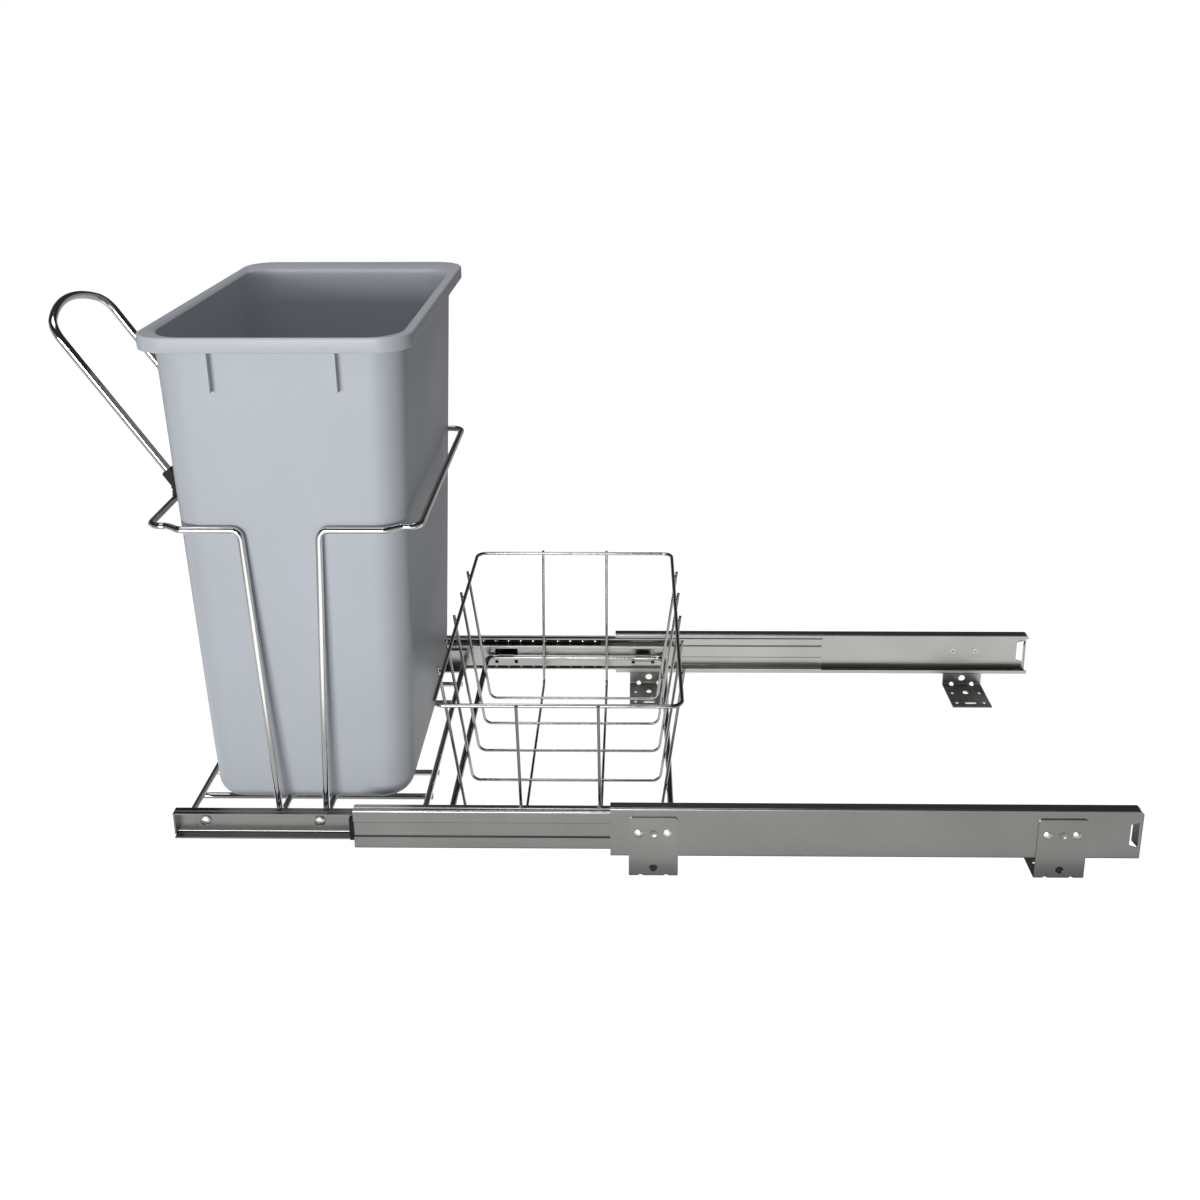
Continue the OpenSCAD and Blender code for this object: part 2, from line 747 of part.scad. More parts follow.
// Moves a part drawn along X, with the hinge at the origin, to the handle's slope
module at_handle() {
    translate([hinge_x, 0, hoop_height]) rotate([0, handle_slope, 0]) rotate([0, 0, 180]) children();
}

// Handle loop: a long U of wire with its ends in the two clips
module handle_loop() {
    y = handle_width / 2;
    z = handle_offset;
    ends = handle_leg_start;
    color(chrome) at_handle() wire(
        [
            [ends, -y, z], [handle_corner, -y, z], [handle_tip, 0, z],
            [handle_corner, y, z], [ends, y, z]
        ],
        [0, handle_r, handle_bow_r, handle_r, 0], handle_wire_d);
}

// Handle clip: a plastic hub on the hoop's front wire with a socket for the handle
module handle_clip() {
    y = handle_width / 2;
    at_handle() difference() {
        translate([0, y + clip_width / 2, 0]) rotate([90, 0, 0]) linear_extrude(clip_width) {
            circle(clip_hub_r, $fn = 48);
            translate(clip_heel) circle(clip_heel_r, $fn = 32);
            square([clip_body_start + clip_corner_r, handle_offset + clip_width / 2 - 1]);
            translate([clip_body_start, handle_offset - clip_width / 2])
                round_rect(clip_length - clip_body_start, clip_width, clip_corner_r);
        }
        translate([0, y, 0]) rotate([90, 0, 0])
            cylinder(h = clip_width + 2, d = frame_wire_d + 2 * running_gap, center = true, $fn = 48);
        translate([handle_leg_start - 0.2, y, handle_offset]) rotate([0, 90, 0])
            cylinder(h = clip_length, d = handle_wire_d + 2 * running_gap, $fn = 48);
    }
}

module right_handle_clip() { color(black) handle_clip(); }
module left_handle_clip() { color(black) left_side() handle_clip(); }

// Four corner posts of a rounded box, for a hull
module corners(length, width, r, z, h) {
    for (x = [-1, 1], y = [-1, 1])
        translate([x * (length / 2 - r), y * (width / 2 - r), z]) cylinder(h = h, r = r, $fn = 48);
}

module bin_form(inset, foot_z, top_z) {
    edge = bin_edge_r - inset;
    length = bin_length_at(top_z) - 2 * inset;
    width = bin_width_at(top_z) - 2 * inset;
    hull() {
        corners(length, width, bin_top_r - inset, top_z - 0.1, 0.1);
        for (x = [-1, 1], y = [-1, 1]) translate([
            x * (bin_foot_length / 2 - bin_foot_r), y * (bin_foot_width / 2 - bin_foot_r),
            foot_z + edge
        ]) rotate_extrude($fn = 48)
            translate([bin_foot_r - inset - edge, 0]) circle(edge, $fn = 32);
    }
}

// Bin: a tapered tub with a turned down rim and two ribs under each long side
module bin() {
    skirt_foot = bin_top - bin_skirt;
    inner_top = bin_top - bin_wall;
    color(bin_grey) translate([bin_x, 0, 0]) difference() {
        union() {
            bin_form(0, bin_foot, bin_body_top);
            difference() {
                hull() {
                    corners(bin_length - 2 * rim_taper, bin_width - 2 * rim_taper,
                        bin_rim_r - rim_taper, skirt_foot, 0.1);
                    corners(bin_length, bin_width, bin_rim_r, bin_top - rim_round - 0.1, 0.1);
                    corners(bin_length - 2 * rim_round, bin_width - 2 * rim_round,
                        bin_rim_r - rim_round, bin_top - 0.1, 0.1);
                }
                hull() {
                    corners(bin_length - 2 * (rim_taper + bin_wall),
                        bin_width - 2 * (rim_taper + bin_wall),
                        bin_rim_r - rim_taper - bin_wall, skirt_foot - 1, 0.1);
                    corners(bin_length - 2 * bin_wall, bin_width - 2 * bin_wall,
                        bin_rim_r - bin_wall, inner_top - 0.1, 0.1);
                }
            }
            for (x = gusset_x, s = [-1, 1]) translate([x - gusset[0] / 2, 0, 0])
                mirror([0, s > 0 ? 1 : 0, 0]) rotate([90, 0, 90]) linear_extrude(gusset[0])
                    polygon([
                        [-bin_top_width / 2 + 6, inner_top], [-bin_width / 2 + 6, inner_top],
                        [-bin_width / 2 + 6, skirt_foot - 4],
                        [-bin_top_width / 2 - 0.5, skirt_foot - gusset[1]],
                        [-bin_top_width / 2 + 6, skirt_foot - gusset[1]]
                    ]);
        }
        bin_form(bin_wall, bin_foot + bin_wall, bin_top - rim_flare);
        hull() {
            corners(bin_top_length - 2 * bin_wall, bin_top_width - 2 * bin_wall,
                bin_top_r - bin_wall, bin_top - rim_flare - 3, 0.1);
            corners(bin_top_length + 2 * rim_flare - 2 * bin_wall,
                bin_top_width + 2 * rim_flare - 2 * bin_wall,
                bin_top_r + rim_flare - bin_wall, bin_top, 1);
        }
    }
}

// Basket rim: a closed wire with rounded corners
module basket_rim() {
    x = basket_length / 2;
    y = basket_width / 2;
    z = basket_rim_height;
    r = basket_corner_r;
    color(chrome) translate([basket_mid, 0, 0])
        wire([[-x, -y, z], [x, -y, z], [x, y, z], [-x, y, z]], [r, r, r, r],
            basket_rim_d, closed = true);
}

// A basket hoop: a thin wire down one side, under the floor and up the other side
module basket_hoop(top, foot, foot_z, tip_z) {
    lean = (top - foot) / (basket_rim_height - foot_z);
    tip = top + lean * (tip_z - basket_rim_height);
    wire([[-tip, 0, tip_z], [-foot, 0, foot_z], [foot, 0, foot_z], [tip, 0, tip_z]],
        [0, basket_bend_r, basket_bend_r, 0], basket_wire_d);
}

module basket_long_hoops() {
    color(chrome) for (i = [-2:2]) translate([basket_mid, i * basket_hoop_pitch, 0])
        basket_hoop(long_hoop_top, long_hoop_foot, basket_floor_height,
            basket_rim_height + basket_tip);
}

module basket_cross_hoops() {
    color(chrome) for (s = [-1, 1])
        translate([basket_mid + s * basket_cross_pitch / 2, 0, 0]) rotate(90)
            basket_hoop(cross_hoop_top, cross_hoop_foot, cross_hoop_low,
                basket_rim_height + basket_rim_d / 2);
}

right_cabinet_member();
left_cabinet_member();
right_front_bracket();
right_rear_bracket();
left_front_bracket();
left_rear_bracket();
bracket_rivets();
right_outer_cage();
left_outer_cage();
outer_balls();
right_middle_member();
left_middle_member();
right_bumper();
left_bumper();
right_inner_cage();
left_inner_cage();
inner_balls();
right_drawer_member();
left_drawer_member();
right_side_rail();
left_side_rail();
rail_screws();
base_cross_wires();
base_long_wires();
front_hoop();
rear_hoop();
basket_ring();
handle_loop();
right_handle_clip();
left_handle_clip();
bin();
basket_rim();
basket_long_hoops();
basket_cross_hoops();
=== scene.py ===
"""Looks of the pull out bin frame: finishes, moulded bin, handle wire, camera and studio."""

import json
import math

import bmesh
import bpy
from mathutils import Matrix, Vector


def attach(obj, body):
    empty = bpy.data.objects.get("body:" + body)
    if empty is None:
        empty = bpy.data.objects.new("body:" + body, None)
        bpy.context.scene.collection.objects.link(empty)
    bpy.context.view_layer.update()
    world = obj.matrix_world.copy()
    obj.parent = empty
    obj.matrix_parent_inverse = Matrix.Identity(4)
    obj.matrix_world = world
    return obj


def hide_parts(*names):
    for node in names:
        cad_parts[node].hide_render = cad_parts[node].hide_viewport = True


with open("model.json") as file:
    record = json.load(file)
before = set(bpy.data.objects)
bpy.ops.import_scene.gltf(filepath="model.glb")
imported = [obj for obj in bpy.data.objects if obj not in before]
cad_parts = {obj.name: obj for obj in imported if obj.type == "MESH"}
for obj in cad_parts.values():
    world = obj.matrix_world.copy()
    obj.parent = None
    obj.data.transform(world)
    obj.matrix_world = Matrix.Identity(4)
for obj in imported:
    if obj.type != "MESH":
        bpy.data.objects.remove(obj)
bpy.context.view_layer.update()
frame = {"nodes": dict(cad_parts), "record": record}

# Camera of the photograph, which is 1200 pixels on a side
PHOTO_SIDE = 1200
FOCAL_PIXELS = 1260.5
CENTRE_PIXEL = (614.8, 399.1)
CAMERA_PLACE = (-0.2146, -1.2343, 0.7862)
CAMERA_YAW = math.radians(0.894)
CAMERA_PITCH = math.radians(16.202)
CAMERA_ROLL = math.radians(-0.23)
SENSOR = 36.0

# CAD nodes with a finish of their own within their slot; the rails' and screws' finishes hold
# painted shade
SCREWS = ("rail_screws", "bracket_rivets")
RAILS = ("left_side_rail", "right_side_rail", "left_drawer_member", "right_drawer_member")
BASKET_WIRES = ("basket_rim", "basket_long_hoops", "basket_cross_hoops", "basket_ring")

# Colour of the slides, and specular level of the black plastic
SLIDE_COLOUR = (0.46, 0.455, 0.44)
BLACK_GLOSS = 0.2
# Painted shade by the way a surface faces: the normal's part at the dark end and at the plain end,
# and the share of the colour left at the dark end. Rails get painted shade where they face up (Z),
# screws where they don't face sideways (Y), which paints dark rims round their heads and dark
# recesses.
RAIL_PAINTED_SHADE = ((0.85, 0.6), 0.4)
SCREW_PAINTED_SHADE = ((0.45, 0.75), 0.08)
# Most values of a noise pattern lie in this range
NOISE_RANGE = (0.3, 0.7)

# Sizes of the bin, in metres. Each ring has a middle in X, a length, a width and a corner radius.
BIN_FOOT_Z = 0.04855
BIN_TOP_Z = 0.53625
BIN_WALL = 0.0025
RIM = (-0.5297, 0.244, 0.3767, 0.0314)
MOUTH = (-0.531, 0.224, 0.337, 0.033)
BODY_TOP = (-0.5321, 0.2271, 0.327, 0.0307)
BODY_FOOT = (-0.5359, 0.1978, 0.284, 0.031)
LEAST_CORNER = 0.001
# Radius of the edge at the foot, height of the rim's skirt and radius of its edges
FOOT_EDGE = 0.018
SKIRT = 0.0136
RIM_ROUND = 0.0018
RIM_TURN = 80
# The collar falls by MOUTH_DROP, and its round edge to the wall is MOUTH_FALL high
MOUTH_DROP = 0.0042
MOUTH_FALL = 0.009
# Ribs under the rim. They begin RIB_GAP below it and reach RIB_SINK into the wall.
RIB_X = (-0.5905, -0.4775)
RIB_THICK = 0.0034
RIB_DROP = 0.041
RIB_DEPTH = 0.0075
RIB_GAP = 0.002
RIB_SINK = 0.002
# Steps of each curve
CORNER_STEPS = 12
FOOT_STEPS = 10
WALL_STEPS = 10
MOUTH_STEPS = 8
RIM_STEPS = 6
SKIRT_STEPS = 3

# Sizes of the pull handle, in metres, as in the CAD
HANDLE_HINGE = (-0.664964, 0.3485)
HANDLE_SLOPE = math.radians(56)
HANDLE_OFFSET = 0.0065
HANDLE_START = 0.008
HANDLE_LENGTH = 0.2187
HANDLE_WIDTH = 0.1318
HANDLE_CORNER_R = 0.024
HANDLE_BOW_R = 0.118
HANDLE_WIRE_R = 0.004
# Steps of each length of the handle's wire, and its number of sides
STRAIGHT_STEPS = 12
BEND_STEPS = 24
BOW_STEPS = 32
WIRE_SIDES = 24

# What mirrors see of the world, where 1 is white: a band at the horizon, dark overhead
HORIZON_GLOW = 0.42
OVERHEAD_GLOW = 0.03
HORIZON_FADE = (0.03, 0.26)

# What mirrors see of the floor: painted pools of light and a painted shadow, which glow only for
# mirror rays. An edge or a side gives the two places, in metres, between which the glow changes.
FLOOR_GLOW = 0.1
# Round the object, by the distance in X from NEAR_MIDDLE
NEAR_GLOW = 0.3
NEAR_MIDDLE = -0.3
NEAR_SIDE = (0.95, 0.6)
# In front, by Y and by the distance in X from FRONT_MIDDLE
FRONT_GLOW = 1.3
FRONT_MIDDLE = -0.45
FRONT_SIDE = (0.62, 0.28)
FRONT_EDGE = (-0.37, -0.5)
# Painted shadow below the near slide and a painted pool of light between the slides, by Y
PAINTED_SHADOW_GLOW = 0.02
INNER_GLOW = 0.95
NEAR_EDGE = (-0.208, -0.22)
INNER_EDGE = (-0.145, -0.125)
FAR_EDGE = (0.2, 0.25)

# Diffuse light of the world. The floor glows white but for FLOOR_SHADE, which the lamps fill where
# the object casts no shadow.
AMBIENT = 0.2
FLOOR_SIDE = 60
FLOOR_COLOUR = (0.4, 0.4, 0.4)
FLOOR_ROUGHNESS = 0.9
FLOOR_SHADE = 0.07
WHITE = (1, 1, 1, 1)

# Lamps: name, place, target, size and watts
LAMPS = (
    ("front_box", (-1.15, -3.2, 0.5), (-0.5, 0, 0.32), (1.8, 0.8), 71),
    ("top_box", (-0.75, 0.1, 2.4), (-0.5, 0, 0.5), (1.6, 1.2), 18),
)


def node_tree(material):
    """The material's nodes and links, and its principled shader."""
    tree = material.node_tree
    return tree.nodes, tree.links, tree.nodes["Principled BSDF"]


def feed(links, socket, value):
    """Gives a socket a number, or the output of another node."""
    if isinstance(value, (int, float)):
        socket.default_value = value
    else:
        links.new(value, socket)


def add_math(nodes, links, operation, first, second):
    """A math node. Its inputs are sockets or numbers."""
    node = nodes.new("ShaderNodeMath")
    node.operation = operation
    feed(links, node.inputs[0], first)
    feed(links, node.inputs[1], second)
    return node.outputs["Value"]


def mapped(nodes, links, value, source, target, smooth=False):
    """The value, moved from one range into another. The ends are sockets or numbers."""
    node = nodes.new("ShaderNodeMapRange")
    if smooth:
        node.interpolation_type = "SMOOTHSTEP"
    ends = zip(("From Min", "From Max", "To Min", "To Max"), (*source, *target))
    for name, end in ends:
        feed(links, node.inputs[name], end)
    feed(links, node.inputs["Value"], value)
    return node.outputs["Result"]


def ramp(nodes, links, value, edges):
    """0 up to the first edge, 1 from the second one on, smooth between. Edges may fall."""
    target = (0, 1) if edges[0] < edges[1] else (1, 0)
    return mapped(nodes, links, value, sorted(edges), target, smooth=True)


def stepped(nodes, links, share, low, high):
    """The level low where the share is 0 and high where it is 1. Levels may be sockets."""
    return mapped(nodes, links, share, (0, 1), (low, high))


def make_material(name, base, metallic, roughness):
    """A material with plain values on its shader."""
    material = bpy.data.materials.new(name)
    material.use_nodes = True
    shader = node_tree(material)[2]
    shader.inputs["Base Color"].default_value = (*base, 1)
    shader.inputs["Metallic"].default_value = metallic
    shader.inputs["Roughness"].default_value = roughness
    return material


def add_noise(material, scale, detail, stretch=(1, 1, 1)):
    """A noise pattern in object coordinates, stretched along the axes."""
    nodes, links, _ = node_tree(material)
    place = nodes.new("ShaderNodeTexCoord")
    mapping = nodes.new("ShaderNodeMapping")
    mapping.inputs["Scale"].default_value = stretch
    noise = nodes.new("ShaderNodeTexNoise")
    noise.inputs["Scale"].default_value = scale
    noise.inputs["Detail"].default_value = detail
    links.new(place.outputs["Object"], mapping.inputs["Vector"])
    links.new(mapping.outputs["Vector"], noise.inputs["Vector"])
    return noise.outputs["Fac"]


def vary_colour(material, value, base, dark, light):
    """Lets the pattern move the base colour from dark times itself to light times itself."""
    nodes, links, shader = node_tree(material)
    mix = nodes.new("ShaderNodeMix")
    mix.data_type = "RGBA"
    for name, factor in (("A", dark), ("B", light)):
        mix.inputs[name].default_value = (*(c * factor for c in base), 1)
    links.new(mapped(nodes, links, value, NOISE_RANGE, (0, 1)), mix.inputs["Factor"])
    links.new(mix.outputs["Result"], shader.inputs["Base Color"])


def vary_roughness(material, value, roughness, low, high):
    """Lets the pattern move the roughness from low times itself to high times itself."""
    nodes, links, shader = node_tree(material)
    target = (roughness * low, roughness * high)
    links.new(mapped(nodes, links, value, NOISE_RANGE, target), shader.inputs["Roughness"])


def add_bump(material, value, height, strength):
    """Lets the pattern raise the surface by up to height metres."""
    nodes, links, shader = node_tree(material)
    bump = nodes.new("ShaderNodeBump")
    bump.inputs["Strength"].default_value = strength
    bump.inputs["Distance"].default_value = height
    links.new(value, bump.inputs["Height"])
    links.new(bump.outputs["Normal"], shader.inputs["Normal"])


def paint_shade_by_normal(material, axis, edges, dark):
    """Paints shade into the base colour: darkens it on the first edge's side of the normal's part
    along an axis. For Y the part has no sign."""
    nodes, links, shader = node_tree(material)
    geometry = nodes.new("ShaderNodeNewGeometry")
    split = nodes.new("ShaderNodeSeparateXYZ")
    links.new(geometry.outputs["Normal"], split.inputs["Vector"])
    part = split.outputs[axis]
    if axis == "Y":
        part = add_math(nodes, links, "ABSOLUTE", part, 0)
    factor = stepped(nodes, links, ramp(nodes, links, part, edges), dark, 1)
    scale = nodes.new("ShaderNodeVectorMath")
    scale.operation = "SCALE"
    links.new(shader.inputs["Base Color"].links[0].from_socket, scale.inputs[0])
    links.new(factor, scale.inputs["Scale"])
    links.new(scale.outputs["Vector"], shader.inputs["Base Color"])


def rolled_steel(name, base, roughness):
    """Plated strip steel with fine rolling lines along X."""
    material = make_material(name, base, 1.0, roughness)
    lines = add_noise(material, scale=40, detail=4, stretch=(0.35, 22, 22))
    cloud = add_noise(material, scale=14, detail=3)
    vary_colour(material, cloud, base, dark=0.94, light=1.05)
    vary_roughness(material, lines, roughness, low=0.9, high=1.12)
    add_bump(material, lines, height=0.00002, strength=0.15)
    return material


def bright_chrome(name, base, roughness):
    """Polished plating with a faint waviness."""
    material = make_material(name, base, 1.0, roughness)
    cloud = add_noise(material, scale=60, detail=3)
    vary_colour(material, cloud, base, dark=0.96, light=1.03)
    vary_roughness(material, cloud, roughness, low=0.6, high=1.5)
    waves = add_noise(material, scale=90, detail=2)
    add_bump(material, waves, height=0.00001, strength=0.05)
    return material


def moulded_plastic(name, base, roughness, grain_scale):
    """Moulded plastic with a fine grain and slight flow marks."""
    material = make_material(name, base, 0.0, roughness)
    cloud = add_noise(material, scale=9, detail=4)
    vary_colour(material, cloud, base, dark=0.97, light=1.02)
    vary_roughness(material, cloud, roughness, low=0.88, high=1.12)
    grain = add_noise(material, scale=grain_scale, detail=3)
    add_bump(material, grain, height=0.00006, strength=0.2)
    return material


def make_materials():
    """One finish for each material slot of the record, and three special ones."""
    finishes = {
        "slide_steel": rolled_steel("slide_steel_finish", SLIDE_COLOUR, 0.30),
        "bracket_steel": rolled_steel("bracket_steel_finish", (0.45, 0.445, 0.43), 0.34),
        "bright_steel": rolled_steel("bright_steel_finish", (0.62, 0.615, 0.60), 0.22),
        "ball_steel": bright_chrome("ball_steel_finish", (0.80, 0.80, 0.79), 0.08),
        "chrome_wire": bright_chrome("chrome_wire_finish", (0.70, 0.70, 0.69), 0.1),
        "basket_wire": bright_chrome("basket_wire_finish", (0.4, 0.4, 0.39), 0.16),
        "rail_steel": rolled_steel("rail_steel_painted_shade", SLIDE_COLOUR, 0.30),
        "screw_steel": bright_chrome("screw_steel_painted_shade", (0.85, 0.85, 0.84), 0.34),
        "black_plastic": moulded_plastic(
            "black_plastic_finish", (0.012, 0.012, 0.012), 0.4, grain_scale=900),
        "bin_plastic": moulded_plastic(
            "bin_plastic_finish", (0.50, 0.533, 0.578), 0.42, grain_scale=1400),
    }
    shader = node_tree(finishes["black_plastic"])[2]
    shader.inputs["Specular IOR Level"].default_value = BLACK_GLOSS
    # Painted shade: the rails are darker on top
    paint_shade_by_normal(finishes["rail_steel"], "Z", *RAIL_PAINTED_SHADE)
    # Painted shade: dark rings round the screw and rivet heads and in their recesses
    paint_shade_by_normal(finishes["screw_steel"], "Y", *SCREW_PAINTED_SHADE)
    return finishes


def dress_nodes(finishes):
    """Gives every CAD node the finish of its slot, or its special one."""
    chosen = {part["node"]: part["material_slot"] for part in frame["record"]["subparts"]}
    chosen.update(dict.fromkeys(SCREWS, "screw_steel"))
    chosen.update(dict.fromkeys(BASKET_WIRES, "basket_wire"))
    chosen.update(dict.fromkeys(RAILS, "rail_steel"))
    for name, obj in frame["nodes"].items():
        obj.data.materials.clear()
        obj.data.materials.append(finishes[chosen[name]])


def ring(size, z):
    """Points round a rectangle with round corners."""
    middle, half_x, half_y, radius = size[0], size[1] / 2, size[2] / 2, size[3]
    points = []
    for quarter, (sx, sy) in enumerate(((1, 1), (-1, 1), (-1, -1), (1, -1))):
        for step in range(CORNER_STEPS + 1):
            angle = math.pi / 2 * (quarter + step / CORNER_STEPS)
            x = sx * (half_x - radius) + radius * math.cos(angle)
            y = sy * (half_y - radius) + radius * math.sin(angle)
            points.append(Vector((middle + x, y, z)))
    return points


def shrunk(size, inset):
    """The ring size moved in by inset all round."""
    middle, length, width, radius = size
    return (middle, length - 2 * inset, width - 2 * inset, max(radius - inset, LEAST_CORNER))


def blended(low, high, share):
    """The ring size between two others."""
    return tuple(a + (b - a) * share for a, b in zip(low, high))


def body_size(z):
    """The bin body's outer size at a height."""
    return blended(BODY_FOOT, BODY_TOP, (z - BIN_FOOT_Z) / (BIN_TOP_Z - SKIRT - BIN_FOOT_Z))


def foot_rings(inset, floor_z):
    """The rounded edge between the floor and the wall, from the floor up."""
    radius = FOOT_EDGE - inset
    rings = []
    for step in range(FOOT_STEPS + 1):
        angle = math.pi / 2 * step / FOOT_STEPS
        size = shrunk(BODY_FOOT, inset + radius * (1 - math.sin(angle)))
        rings.append(ring(size, floor_z + radius * (1 - math.cos(angle))))
    return rings


def rim_arc(z, radius, start, end, steps):
    """Rings along a round edge of the rim. Angles are in degrees, 0 outwards and 90 up."""
    rings = []
    for step in range(steps + 1):
        angle = math.radians(start + (end - start) * step / steps)
        size = shrunk(RIM, radius * (1 - math.cos(angle)))
        rings.append(ring(size, z + radius * math.sin(angle)))
    return rings


def wall_rings(inset, low, high):
    """Rings up the body's wall, all but those at its two ends."""
    heights = (low + (high - low) * step / WALL_STEPS for step in range(1, WALL_STEPS))
    return [ring(shrunk(body_size(z), inset), z) for z in heights]


def mouth_rings(outwards):
    """The round edge from the sloping collar down to the wall, so far outside the inner face."""
    start = BIN_TOP_Z - MOUTH_DROP - outwards
    top = shrunk(MOUTH, -outwards)
    foot = shrunk(body_size(start - MOUTH_FALL), BIN_WALL - outwards)
    rings = []
    for step in range(MOUTH_STEPS + 1):
        turn = math.pi / 2 * step / MOUTH_STEPS
        z = start - MOUTH_FALL * (1 - math.cos(turn))
        rings.append(ring(blended(foot, top, 1 - math.sin(turn)), z))
    return rings


def bin_rings():
    """All rings of the bin's skin: up the outside, over the rim and down the inside."""
    low = BIN_FOOT_Z + FOOT_EDGE
    neck = BIN_TOP_Z - MOUTH_DROP - MOUTH_FALL
    skirt_z = BIN_TOP_Z - SKIRT + RIM_ROUND / 2
    rings = foot_rings(0, BIN_FOOT_Z)
    rings += wall_rings(0, low, neck - BIN_WALL)
    rings += reversed(mouth_rings(BIN_WALL))
    rings.append(ring(shrunk(RIM, BIN_WALL), BIN_TOP_Z - BIN_WALL))
    rings.append(ring(shrunk(RIM, BIN_WALL), skirt_z))
    rings += rim_arc(skirt_z, RIM_ROUND / 2, -90, 0, SKIRT_STEPS)
    rings += rim_arc(BIN_TOP_Z - RIM_ROUND, RIM_ROUND, 0, RIM_TURN, RIM_STEPS)
    rings += mouth_rings(0)
    rings += reversed(wall_rings(BIN_WALL, low, neck))
    rings += reversed(foot_rings(BIN_WALL, BIN_FOOT_Z + BIN_WALL))
    return rings


def skin(bm, rings):
    """Quads between neighbouring rings, with the first and last ring filled."""
    loops = [[bm.verts.new(p) for p in points] for points in rings]
    for low, high in zip(loops, loops[1:]):
        for i in range(len(low)):
            j = (i + 1) % len(low)
            bm.faces.new((low[i], low[j], high[j], high[i]))
    for face in bm.faces:
        face.smooth = True
    bm.faces.new(list(reversed(loops[0])))
    bm.faces.new(loops[-1])


def add_object(bm, name, material, body, node):
    """Makes the mesh an object that rides on a body in place of a CAD node."""
    bmesh.ops.recalc_face_normals(bm, faces=bm.faces)
    mesh = bpy.data.meshes.new(name)
    bm.to_mesh(mesh)
    bm.free()
    mesh.materials.append(material)
    obj = bpy.data.objects.new(name, mesh)
    bpy.context.collection.objects.link(obj)
    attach(obj, body)
    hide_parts(node)


def add_rib(bm, x, side):
    """One of the ribs below the rim, a plate that stands out from the wall evenly."""
    top = BIN_TOP_Z - SKIRT - RIB_GAP
    foot = BIN_TOP_Z - SKIRT - RIB_DROP
    wall_top, wall_foot = (body_size(z)[2] / 2 for z in (top, foot))
    outline = [
        (wall_top - RIB_SINK, top), (wall_top + RIB_DEPTH, top),
        (wall_foot + RIB_DEPTH, foot), (wall_foot - RIB_SINK, foot),
    ]
    loops = []
    for end in (-1, 1):
        place = x + end * RIB_THICK / 2
        loops.append([bm.verts.new((place, side * y, z)) for y, z in outline])
    for i in range(len(outline)):
        j = (i + 1) % len(outline)
        bm.faces.new((loops[0][i], loops[0][j], loops[1][j], loops[1][i]))
    bm.faces.new(loops[0])
    bm.faces.new(list(reversed(loops[1])))


def make_bin(material):
    """The moulded bin, smooth where the CAD solid has flats."""
    bm = bmesh.new()
    skin(bm, bin_rings())
    for x in RIB_X:
        for side in (-1, 1):
            add_rib(bm, x, side)
    add_object(bm, "bin_shell", material, "bin_body", "bin")


def handle_line():
    """The handle wire's middle line: each point, along and across, with its heading."""
    half = HANDLE_WIDTH / 2
    bow = math.asin((half - HANDLE_CORNER_R) / (HANDLE_BOW_R - HANDLE_CORNER_R))
    bow_middle = (HANDLE_LENGTH - HANDLE_BOW_R, 0)
    corner = (bow_middle[0] + (HANDLE_BOW_R - HANDLE_CORNER_R) * math.cos(bow),
              half - HANDLE_CORNER_R)
    straight = [HANDLE_START + (corner[0] - HANDLE_START) * step / STRAIGHT_STEPS
                for step in range(STRAIGHT_STEPS)]
    arcs = (
        ((corner[0], -corner[1]), HANDLE_CORNER_R, -math.pi / 2, -bow, BEND_STEPS),
        (bow_middle, HANDLE_BOW_R, -bow, bow, BOW_STEPS),
        (corner, HANDLE_CORNER_R, bow, math.pi / 2, BEND_STEPS),
    )
    line = [((along, -half), 0.0) for along in straight]
    for number, (middle, radius, start, end, steps) in enumerate(arcs):
        for step in range(min(number, 1), steps + 1):
            angle = start + (end - start) * step / steps
            place = (middle[0] + radius * math.cos(angle), middle[1] + radius * math.sin(angle))
            line.append((place, angle + math.pi / 2))
    line += [((along, half), math.pi) for along in reversed(straight)]
    return line


def handle_point(along, across, up):
    """A point of the handle's own plane, brought to its place at rest."""
    cos, sin = math.cos(HANDLE_SLOPE), math.sin(HANDLE_SLOPE)
    up += HANDLE_OFFSET
    return Vector((HANDLE_HINGE[0] - along * cos + up * sin, -across,
                   HANDLE_HINGE[1] + along * sin + up * cos))


def make_handle(material):
    """The handle's wire, round where the CAD solid has flats."""
    rings = []
    for (along, across), heading in handle_line():
        points = []
        for step in range(WIRE_SIDES):
            turn = 2 * math.pi * step / WIRE_SIDES
            out = HANDLE_WIRE_R * math.cos(turn)
            points.append(handle_point(along + out * math.sin(heading),
                                       across - out * math.cos(heading),
                                       HANDLE_WIRE_R * math.sin(turn)))
        rings.append(points)
    bm = bmesh.new()
    skin(bm, rings)
    add_object(bm, "handle_wire", material, "handle", "handle_loop")


def make_camera():
    """The photograph's camera."""
    data = bpy.data.cameras.new("photo_camera")
    data.sensor_width = SENSOR
    data.lens = FOCAL_PIXELS * SENSOR / PHOTO_SIDE
    data.shift_x = (PHOTO_SIDE / 2 - CENTRE_PIXEL[0]) / PHOTO_SIDE
    data.shift_y = (CENTRE_PIXEL[1] - PHOTO_SIDE / 2) / PHOTO_SIDE
    camera = bpy.data.objects.new("photo_camera", data)
    turn = Matrix.Rotation(CAMERA_YAW, 4, "Z")
    turn @= Matrix.Rotation(math.pi / 2 - CAMERA_PITCH, 4, "X")
    turn @= Matrix.Rotation(CAMERA_ROLL, 4, "Z")
    camera.matrix_world = Matrix.Translation(CAMERA_PLACE) @ turn
    bpy.context.collection.objects.link(camera)
    bpy.context.scene.camera = camera


def area_light(name, place, target, size, power):
    """A soft box that shines from place towards target."""
    data = bpy.data.lights.new(name, "AREA")
    data.shape = "RECTANGLE"
    data.size, data.size_y = size
    data.energy = power
    light = bpy.data.objects.new(name, data)
    aim = Vector(target) - Vector(place)
    light.rotation_euler = aim.to_track_quat("-Z", "Y").to_euler()
    light.location = place
    bpy.context.collection.objects.link(light)


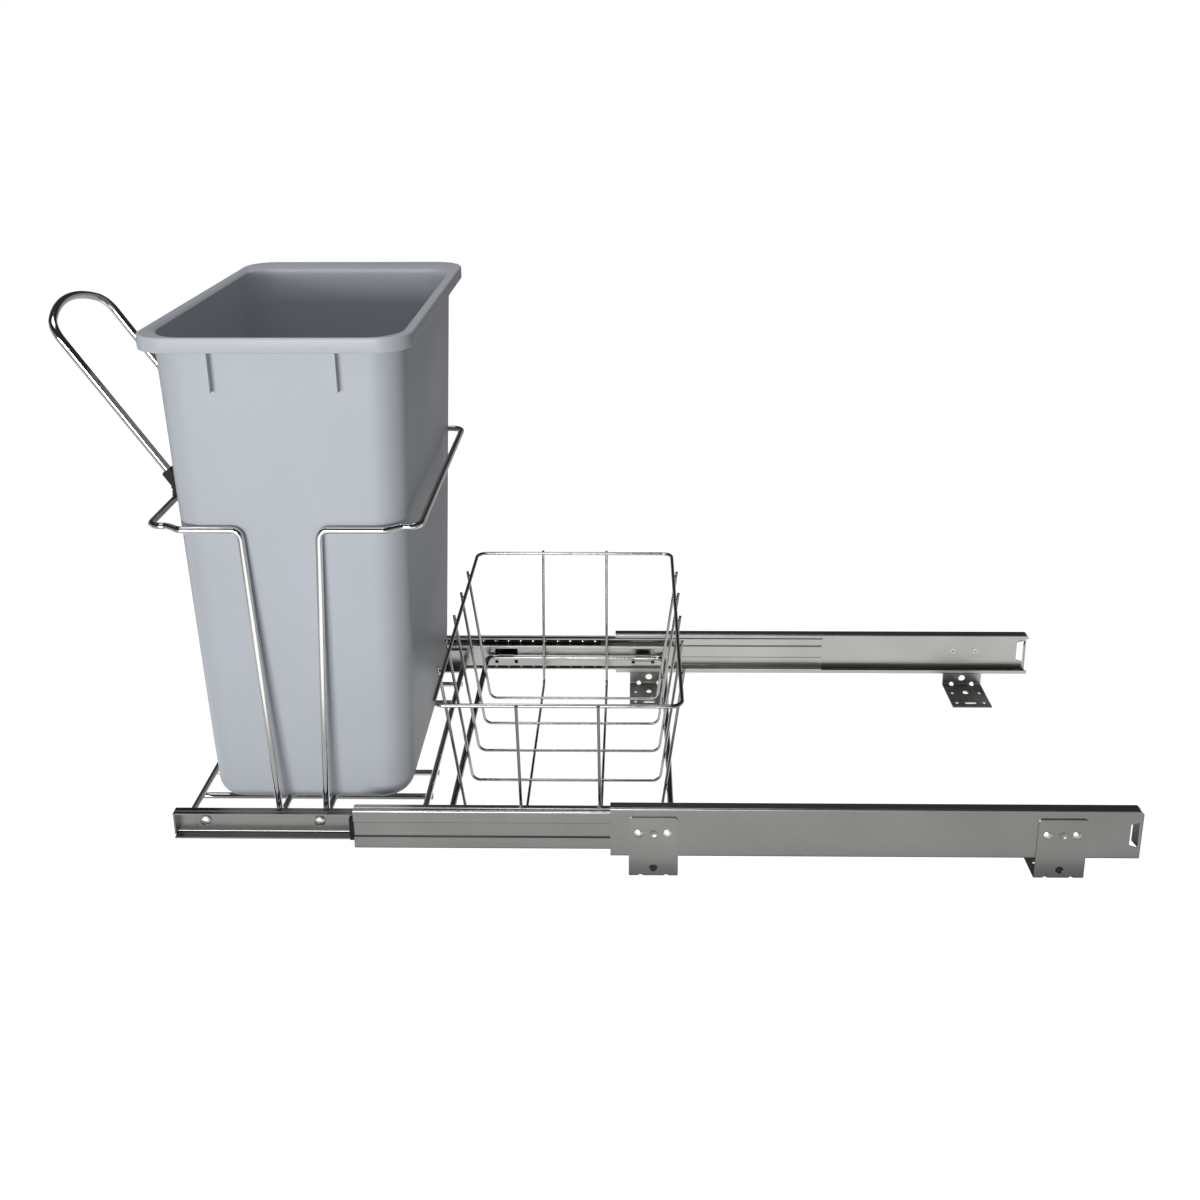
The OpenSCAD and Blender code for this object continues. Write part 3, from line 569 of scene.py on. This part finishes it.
def shown_light(nodes, links, mirror_glow):
    """1 for camera rays, mirror_glow for mirror and glass rays, and 0 for the others."""
    path = nodes.new("ShaderNodeLightPath")
    mirror = add_math(nodes, links, "MAXIMUM", path.outputs["Is Glossy Ray"],
                      path.outputs["Is Transmission Ray"])
    glow = add_math(nodes, links, "MULTIPLY", mirror, mirror_glow)
    return add_math(nodes, links, "MAXIMUM", path.outputs["Is Camera Ray"], glow)


def make_world():
    """A white studio, which mirrors see as bright at the horizon and dark overhead."""
    world = bpy.data.worlds.new("studio")
    world.use_nodes = True
    nodes, links = world.node_tree.nodes, world.node_tree.links
    place = nodes.new("ShaderNodeTexCoord")
    split = nodes.new("ShaderNodeSeparateXYZ")
    links.new(place.outputs["Generated"], split.inputs["Vector"])
    glow = mapped(nodes, links, split.outputs["Z"], HORIZON_FADE,
                  (HORIZON_GLOW, OVERHEAD_GLOW), smooth=True)
    shown = nodes["Background"]
    shown.inputs["Color"].default_value = WHITE
    links.new(shown_light(nodes, links, glow), shown.inputs["Strength"])
    lighting = nodes.new("ShaderNodeBackground")
    lighting.inputs["Color"].default_value = WHITE
    path = nodes.new("ShaderNodeLightPath")
    links.new(add_math(nodes, links, "MULTIPLY", path.outputs["Is Diffuse Ray"], AMBIENT),
              lighting.inputs["Strength"])
    add = nodes.new("ShaderNodeAddShader")
    links.new(shown.outputs["Background"], add.inputs[0])
    links.new(lighting.outputs["Background"], add.inputs[1])
    links.new(add.outputs["Shader"], nodes["World Output"].inputs["Surface"])
    bpy.context.scene.world = world


def painted_floor_glow(nodes, links):
    """The floor in mirrors: painted light in front and between the slides, painted shadow under the
    near one.
    """
    place = nodes.new("ShaderNodeTexCoord")
    split = nodes.new("ShaderNodeSeparateXYZ")
    links.new(place.outputs["Object"], split.inputs["Vector"])
    across = split.outputs["Y"]
    shares = []
    for middle, edges in ((NEAR_MIDDLE, NEAR_SIDE), (FRONT_MIDDLE, FRONT_SIDE)):
        along = add_math(nodes, links, "ADD", split.outputs["X"], -middle)
        along = add_math(nodes, links, "ABSOLUTE", along, 0)
        shares.append(ramp(nodes, links, along, edges))
    outside = stepped(nodes, links, shares[0], FLOOR_GLOW, NEAR_GLOW)
    inside = stepped(nodes, links, ramp(nodes, links, across, FAR_EDGE), INNER_GLOW, outside)
    # Painted shadow strip under the near slide, painted pool of light between the slides
    level = stepped(nodes, links, ramp(nodes, links, across, INNER_EDGE), PAINTED_SHADOW_GLOW, inside)
    level = stepped(nodes, links, ramp(nodes, links, across, NEAR_EDGE), level, outside)
    # Painted pool of light in front of the object
    front = ramp(nodes, links, across, FRONT_EDGE)
    front = add_math(nodes, links, "MULTIPLY", front, shares[1])
    return stepped(nodes, links, front, level, FRONT_GLOW)


def make_floor():
    """A pale floor that keeps the object's shadow and shows as white."""
    bpy.ops.mesh.primitive_plane_add(size=FLOOR_SIDE)
    floor = bpy.context.object
    floor.name = "floor"
    material = make_material("floor_finish", FLOOR_COLOUR, 0.0, FLOOR_ROUGHNESS)
    nodes, links, shader = node_tree(material)
    glow = nodes.new("ShaderNodeEmission")
    glow.inputs["Color"].default_value = WHITE
    level = shown_light(nodes, links, painted_floor_glow(nodes, links))
    links.new(add_math(nodes, links, "MULTIPLY", level, 1 - FLOOR_SHADE),
              glow.inputs["Strength"])
    add = nodes.new("ShaderNodeAddShader")
    links.new(shader.outputs["BSDF"], add.inputs[0])
    links.new(glow.outputs["Emission"], add.inputs[1])
    links.new(add.outputs["Shader"], nodes["Material Output"].inputs["Surface"])
    floor.data.materials.append(material)


def make_studio():
    """Floor, world and lamps."""
    make_world()
    make_floor()
    for lamp in LAMPS:
        area_light(*lamp)
    bpy.context.scene.view_settings.view_transform = "Standard"


materials = make_materials()
dress_nodes(materials)
make_bin(materials["bin_plastic"])
make_handle(materials["chrome_wire"])
make_camera()
make_studio()
